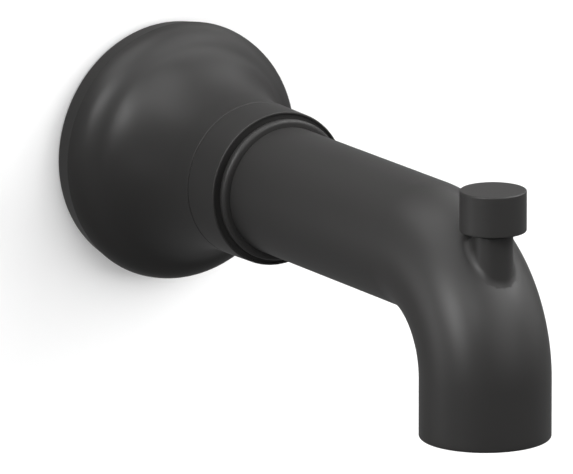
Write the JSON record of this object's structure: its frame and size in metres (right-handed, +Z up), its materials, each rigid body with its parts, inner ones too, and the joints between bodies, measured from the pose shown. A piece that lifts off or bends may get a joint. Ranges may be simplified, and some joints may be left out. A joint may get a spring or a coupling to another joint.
{
  "type": "wall mounted bath spout",
  "caption": "Round wall-mounted bath spout with flared escutcheon, downturned outlet and a pull-up diverter knob on its bend.",
  "frame": {"origin": "centre of the escutcheon's back face, on the wall", "axes": "+Y into the wall, so the spout's tube runs along -Y; +Z up; +X to the side"},
  "size_m": [0.0892, 0.2234, 0.1028],
  "materials": {
    "matt_black": "matt black powder-like coat on brass",
    "foam_gasket": "closed-cell foam",
    "stainless_steel": "plain stainless steel",
    "brass": "machined brass",
    "black_rubber": "smooth black rubber",
    "white_plastic": "moulded natural acetal",
    "grey_plastic": "moulded grey plastic"
  },
  "bodies": {
    "spout": {"escutcheon_bell": "matt_black", "wall_gasket": "foam_gasket", "collar_ring": "matt_black", "collar_set_screw": "stainless_steel", "bead_ring": "matt_black", "inlet_adapter": "brass", "pipe_seal": "black_rubber", "adapter_oring_rear": "black_rubber", "adapter_oring_front": "black_rubber", "spout_body": "matt_black", "waterway_tube": "white_plastic", "waterway_oring_inlet": "black_rubber", "waterway_oring_outlet": "black_rubber", "gate_housing": "grey_plastic", "housing_cap": "grey_plastic", "return_spring": "stainless_steel", "stem_bushing": "brass", "stem_seal": "black_rubber", "seal_retainer": "stainless_steel", "outlet_ring": "grey_plastic", "flow_straightener": "white_plastic", "outlet_oring": "black_rubber"},
    "gate": {"gate_carrier": "white_plastic", "gate_washer": "black_rubber", "gate_screw": "stainless_steel"},
    "knob": {"lift_rod": "brass", "rod_clip": "stainless_steel", "diverter_knob": "matt_black", "knob_insert": "brass"}
  },
  "joints": [
    {"name": "diverter_lift", "type": "slide", "parent": "spout", "child": "gate", "axis": [0, 0, 1], "range_m": [0, 0.01], "stiffness_N_per_m": 60, "springref_m": -0.012, "deforming": ["return_spring"]},
    {"name": "knob_spin", "type": "hinge", "parent": "gate", "child": "knob", "pos_m": [0, -0.2057, 0.02], "axis": [0, 0, 1], "continuous": true}
  ]
}
